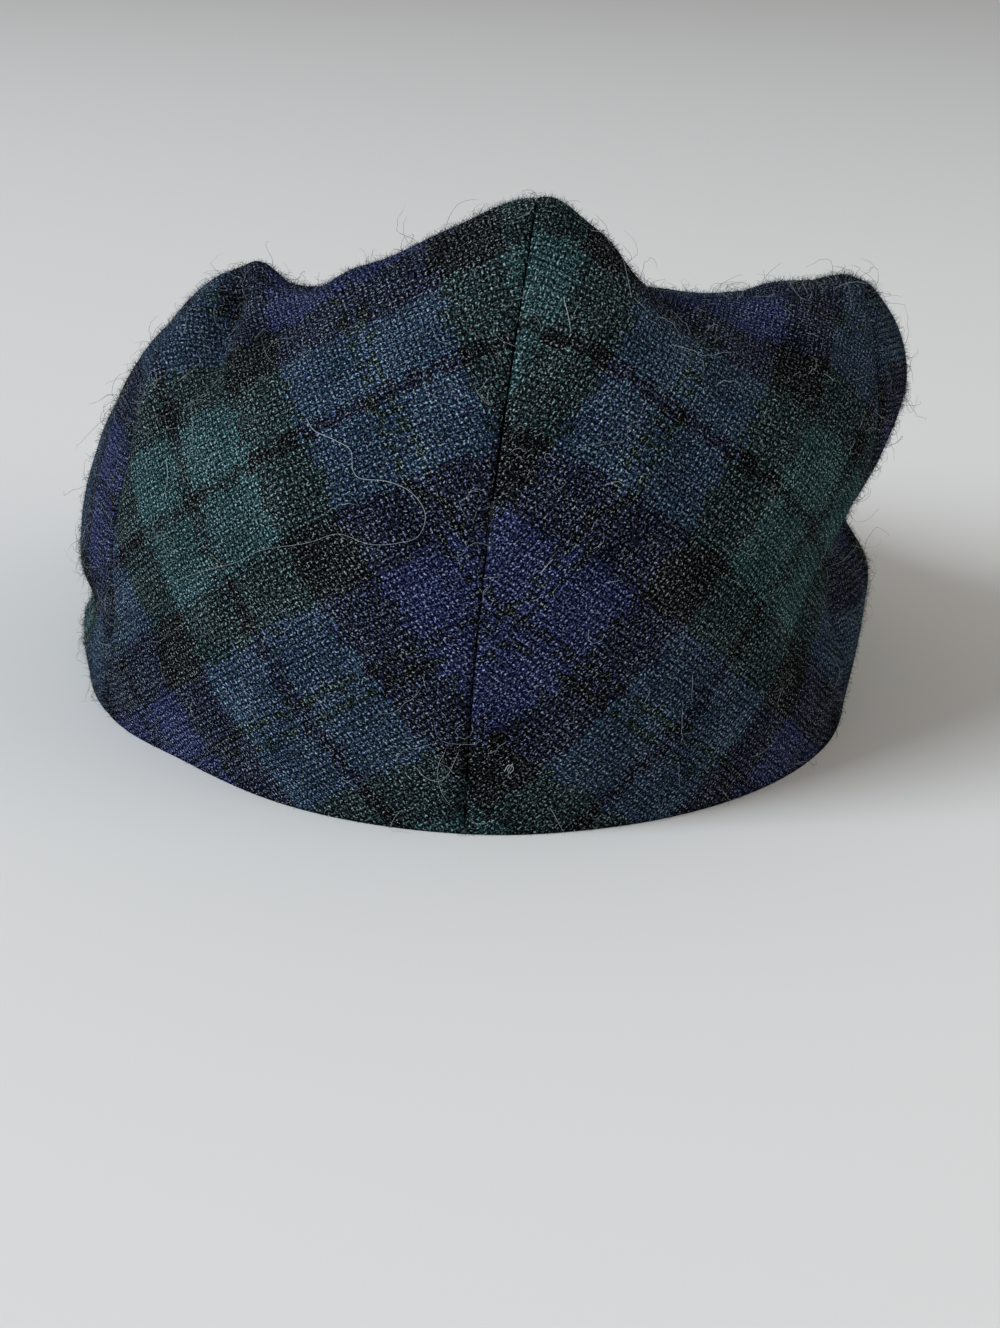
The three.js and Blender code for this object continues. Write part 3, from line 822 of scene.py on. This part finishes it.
# Loose wool: short straight fuzz all over the outside, hairs that curl over it, and long strays
fuzz = {
    "perSquareMetre": 1450000,
    "most": 45000,  # in one piece
    "length": (0.35, 2.0),
    "shortness": 2,  # a higher power makes short ones more common
    "radius": 0.042,
    "rise": (0.25, 1.45),  # radians from the cloth
    "shade": (0.25, 1.0),  # brightness of the darkest, and how much the others gain
    "shine": 0.1,
    "undyed": (0.33, 0.385, 0.41, 1),
    "undyedMix": 0.8,
    "undyedShare": 0.1,
    "seed": 100,
}
hairs = {
    "perSquareMetre": 85000,
    "length": (1.5, 5.0),
    "radius": 0.042,
    "points": 5,
    "undyedShare": 0.13,
    "seed": 200,
}
strays = {
    "perSquareMetre": 18000,
    "length": (4.0, 13.0),
    "radius": 0.045,
    "points": 9,
    "undyedShare": 0.35,
    "seed": 300,
}
# How hairs and strays curl: angles in radians, the fall as a share of the rise
curl = {
    "shortness": 2.5,
    "bend": 2.8,  # over the whole length
    "rise": (0.2, 1.2),
    "fall": (0.6, 2.2),
    "sway": 0.3,
    "lift": 0.15,
}
# More of the nap stands up where the cloth bends; the bend is in radians for each millimetre
nap = {"atBends": 5.0, "bend": (0.01, 0.05), "rootDepth": 0.15}
# Loose pale fibres that lie on the crown, by azimuth and level
looseFibres = {
    "lift": 0.4,
    "points": 90,
    "paths": [
        dict(name="long_fibre", panel="crown_left", radius=0.075, places=[
            (24, 3.59), (22.5, 3.52), (19.5, 3.46), (17.2, 3.4), (16.4, 3.3), (15.6, 3.26), (12.2, 3.24),
            (9.5, 3.18), (7.9, 3.07), (8.3, 2.93), (10.2, 2.87), (13.1, 2.85), (16.5, 2.92), (19.5, 2.84),
            (25.3, 2.73), (28.5, 2.6), (33.5, 2.47), (41.5, 2.27)]),
        dict(name="short_fibre", panel="crown_left", radius=0.08, places=[
            (45, 3.4), (44, 3.33), (43.4, 3.25), (43.2, 3.17)]),
        dict(name="bowed_fibre", panel="crown_left", radius=0.055, places=[
            (6.6, 0.76), (6, 0.69), (5.2, 0.64), (4.1, 0.64), (3.4, 0.72), (2.9, 0.85), (2.4, 1)]),
        dict(name="slope_fibre", panel="crown_right", radius=0.075, places=[
            (-8.5, 4.78), (-11.3, 4.88), (-12.6, 4.86), (-14, 4.74), (-13.6, 4.5), (-13.3, 4.3)]),
        dict(name="top_fibre", panel="crown_right", radius=0.1, places=[
            (-3.9, 4.19), (-4.5, 4.1), (-4.9, 4)]),
        dict(name="seam_fibre", panel="crown_right", radius=0.09, places=[
            (-4.1, 2.67), (-4.5, 2.72), (-5, 2.77)]),
        dict(name="lint", panel="crown_right", radius=0.09, places=[
            (-2.25, 0.79), (-2.65, 0.863), (-3.15, 0.83), (-2.85, 0.768), (-2.55, 0.81), (-3.05, 0.874),
            (-2.65, 0.736), (-2.95, 0.704)]),
    ],
}


# A fibre thins towards its tip and stays clear of the floor
fibreForm = {"thinTo": 0.5, "offFloor": 0.02}
slant = np.array([0.31, 0.52, 0.79])  # a direction that few fibres follow


# Closed three-sided tubes along paths, an array of fibres by points, ending in a tip
def fibreMesh(name, paths, radius, uv, material):
    count, points = paths.shape[:2]
    heading = unit(np.gradient(paths, axis=1))
    aside = unit(np.cross(heading, slant))
    lift = np.cross(heading, aside)
    turn = np.arange(3) * 2 * np.pi / 3
    thin = radius * np.linspace(1, fibreForm["thinTo"], points - 1)[None, :, None, None]
    ring = aside[:, :, None] * np.cos(turn)[:, None] + lift[:, :, None] * np.sin(turn)[:, None]
    rings = (paths[:, :-1, None] + ring[:, :-1] * thin).reshape(count, -1, 3)
    corners = np.concatenate([rings, paths[:, -1:]], 1)
    size = corners.shape[1]
    first = (np.arange(count) * size)[:, None, None]
    quads = [[3 * k + i, 3 * k + (i + 1) % 3, 3 * k + 3 + (i + 1) % 3, 3 * k + 3 + i]
             for k in range(points - 2) for i in range(3)]
    quads = np.array(quads, int).reshape(-1, 4)
    last = 3 * (points - 2)
    tips = [[last + i, last + (i + 1) % 3, size - 1] for i in range(3)] + [[2, 1, 0]]
    faces = (quads + first).reshape(-1, 4).tolist() + (np.array(tips) + first).reshape(-1, 3).tolist()
    corners[..., 2] = np.maximum(corners[..., 2], fibreForm["offFloor"])
    return newPiece(name, corners.reshape(-1, 3), faces, np.repeat(uv, size, axis=0), material)


# Random roots on the outside of a panel, with the way out of the cloth there
def scatter(panel, rng, perSquareMetre, most=None):
    corners = [panel["points"][panel["triangles"][:, k]] for k in range(3)]
    area = np.linalg.norm(np.cross(corners[1] - corners[0], corners[2] - corners[0]), axis=1) / 2
    count = int(area.sum() * mm * mm * perSquareMetre)
    count = min(count, most or count)
    normals = [panel["normals"][panel["triangles"][:, k]] for k in range(3)]
    turned = sum(np.linalg.norm(normals[k] - normals[k - 1], axis=1) for k in range(3))
    length = sum(np.linalg.norm(corners[k] - corners[k - 1], axis=1) for k in range(3))
    raised = area * (1 + nap["atBends"] * smoothStep(turned / length, *nap["bend"]))
    chosen = rng.choice(len(area), count, p=raised / raised.sum())
    share = rng.dirichlet((1, 1, 1), count)

    def spread(values):
        return sum(values[panel["triangles"][chosen, k]] * share[:, k:k + 1] for k in range(3))

    normal = unit(spread(panel["normals"]))
    return spread(panel["points"]) - normal * nap["rootDepth"], normal, spread(panel["uv"])


def addFuzz(name, panel, seed):
    rng = np.random.default_rng(seed)
    root, normal, uv = scatter(panel, rng, fuzz["perSquareMetre"], fuzz["most"])
    count = len(root)
    lean = unit(np.cross(normal, rng.normal(size=(count, 3))))
    low, high = fuzz["length"]
    length = low + (high - low) * rng.random((count, 1)) ** fuzz["shortness"]
    rise = rng.uniform(*fuzz["rise"], (count, 1))
    tip = root + length * (normal * np.sin(rise) + lean * np.cos(rise))
    paths = np.stack([root, tip], 1)
    panel["loose"].append(fibreMesh(name + "_fuzz", paths, fuzz["radius"], uv, woolFuzz))
    return count


def addCurled(name, panel, form, material, seed):
    rng = np.random.default_rng(seed)
    root, normal, uv = scatter(panel, rng, form["perSquareMetre"])
    count, steps = len(root), form["points"] - 1
    lean = unit(np.cross(normal, rng.normal(size=(count, 3))))
    aside = np.cross(normal, lean)
    low, high = form["length"]
    length = low + (high - low) * rng.random(count) ** curl["shortness"]
    bend = rng.normal(0, curl["bend"] / steps, count)
    rise = rng.uniform(*curl["rise"], count)
    fall = rng.uniform(*curl["fall"], count) * rise
    path = [root]
    for k in range(steps):
        turn = bend * k + rng.normal(0, curl["sway"], count)
        climb = rise - fall * k / steps + rng.normal(0, curl["lift"], count)
        heading = lean * np.cos(turn)[:, None] + aside * np.sin(turn)[:, None]
        heading = heading * np.cos(climb)[:, None] + normal * np.sin(climb)[:, None]
        path.append(path[-1] + heading * (length / steps)[:, None])
    panel["loose"].append(fibreMesh(name, np.stack(path, 1), form["radius"], uv, material))
    return count


def addLooseFibre(fibre):
    panel = panels[fibre["panel"]]
    azimuth, level = np.array(fibre["places"], float).T
    spots = outerPoints(azimuth, level)
    nearest = np.array([np.argmin(((panel["points"] - spot) ** 2).sum(1)) for spot in spots])
    normal = panel["normals"][nearest]
    depth = ((panel["points"][nearest] - spots) * normal).sum(1) + looseFibres["lift"]
    spots = spots + normal * depth[:, None]
    along = np.linspace(0, len(spots) - 1, looseFibres["points"])
    path = alongCurve(np.repeat(spots[:, None], len(along), axis=1), along)
    uv = panel["uv"][nearest[:1]]
    panel["loose"].append(fibreMesh(fibre["name"], path[None], fibre["radius"], uv, paleWool))


woolFuzz = makeFuzz("wool_fuzz", fuzz["undyedShare"])
hairWool = makeFuzz("hair_wool", hairs["undyedShare"])
strayWool = makeFuzz("stray_wool", strays["undyedShare"])
paleWool = makeFuzz("pale_wool", 1.0)
for k, (name, panel) in enumerate(panels.items()):
    panel["loose"] = []
    counts = [addFuzz(name, panel, fuzz["seed"] + k)]
    counts.append(addCurled(name + "_hairs", panel, hairs, hairWool, hairs["seed"] + k))
    counts.append(addCurled(name + "_strays", panel, strays, strayWool, strays["seed"] + k))
    print(name, "fuzz, hairs and strays:", counts)
for fibre in looseFibres["paths"]:
    addLooseFibre(fibre)
print("loose fibres:", len(looseFibres["paths"]))

# Plain pale floor and soft light
stageForm = {
    "floorSize": 40.0,
    "floorColour": (0.74, 0.74, 0.75, 1),
    "floorRoughness": 0.8,
    "roomColour": (0.94, 0.91, 0.86, 1),
    "ceilingColour": (0.2, 0.2, 0.2, 1),
    "roomLight": 0.85,
    "lightsAim": (0, 0, 0.05),
    "lights": [
        dict(name="window", place=(3.75, 2.25, 2.4), size=2.7, power=275.0, colour=(0.88, 0.95, 1.0)),
        dict(name="fill", place=(-1.1, 0.5, 0.8), size=1.0, power=3.2, colour=(1.0, 0.9, 0.68)),
    ],
}


def makeFloor():
    half = stageForm["floorSize"] / 2
    mesh = bpy.data.meshes.new("floor")
    corners = [(-half, -half, 0), (half, -half, 0), (half, half, 0), (-half, half, 0)]
    mesh.from_pydata(corners, [], [(0, 1, 2, 3)])
    floor = bpy.data.objects.new("floor", mesh)
    bpy.context.scene.collection.objects.link(floor)
    finish = Finish(bpy.data.materials.new("pale_floor"))
    paint = {"Base Color": stageForm["floorColour"], "Roughness": stageForm["floorRoughness"]}
    mesh.materials.append(finish.surface(paint))


def makeLight(name, place, size, power, colour):
    lamp = bpy.data.lights.new(name, "AREA")
    lamp.size = size
    lamp.energy = power
    lamp.color = colour
    holder = bpy.data.objects.new(name, lamp)
    holder.location = place
    towards = Vector(stageForm["lightsAim"]) - Vector(place)
    holder.rotation_euler = towards.to_track_quat("-Z", "Y").to_euler()
    bpy.context.scene.collection.objects.link(holder)


# Light from all round, less of it from above
def makeRoom():
    world = bpy.data.worlds.new("room")
    finish = Finish(world)
    towards = finish.node("TexCoord", None, None, "Generated")
    upward = finish.node("SeparateXYZ", None, {0: towards}, "Z")
    share = finish.math("MAXIMUM", upward, 0.0)
    colour = finish.mix(share, stageForm["roomColour"], stageForm["ceilingColour"])
    shine = finish.node("Background", None, {"Color": colour, "Strength": stageForm["roomLight"]})
    finish.node("OutputWorld", None, {"Surface": shine})
    bpy.context.scene.world = world


makeFloor()
for light in stageForm["lights"]:
    makeLight(**light)
makeRoom()
bpy.context.scene.view_settings.view_transform = "Standard"
print("floor and lights set")

# The camera, from behind and a little above, tilted as it was held
cameraForm = {
    "distance": 0.507,
    "elevation": 19.0,
    "yaw": -1.0,
    "roll": 2.0,
    "sensorWidth": 36.0,
    "nearClip": 0.01,
    "focalPixels": 2200.0,
    "imageSize": (1000, 1328),
    "axisPixel": (475, 657),  # where the cap's axis meets the floor
}


def makeCamera():
    width, height = cameraForm["imageSize"]
    lift, yaw = math.radians(cameraForm["elevation"]), math.radians(cameraForm["yaw"])
    back = Vector((-math.sin(yaw) * math.cos(lift), math.cos(yaw) * math.cos(lift), math.sin(lift)))
    lens = bpy.data.cameras.new("camera")
    lens.sensor_width = cameraForm["sensorWidth"]
    lens.lens = lens.sensor_width * cameraForm["focalPixels"] / height
    lens.shift_x = (width / 2 - cameraForm["axisPixel"][0]) / height
    lens.shift_y = (cameraForm["axisPixel"][1] - height / 2) / height
    lens.clip_start = cameraForm["nearClip"]
    camera = bpy.data.objects.new("camera", lens)
    roll = Matrix.Rotation(math.radians(cameraForm["roll"]), 3, "Z")
    turn = (-back).to_track_quat("-Z", "Y").to_matrix() @ roll
    place = Matrix.Translation(Vector(capAxis) + back * cameraForm["distance"])
    camera.matrix_world = place @ turn.to_4x4()
    bpy.context.scene.collection.objects.link(camera)
    bpy.context.scene.camera = camera


makeCamera()
print("camera set")

for name, panel in panels.items():
    name != "peak"
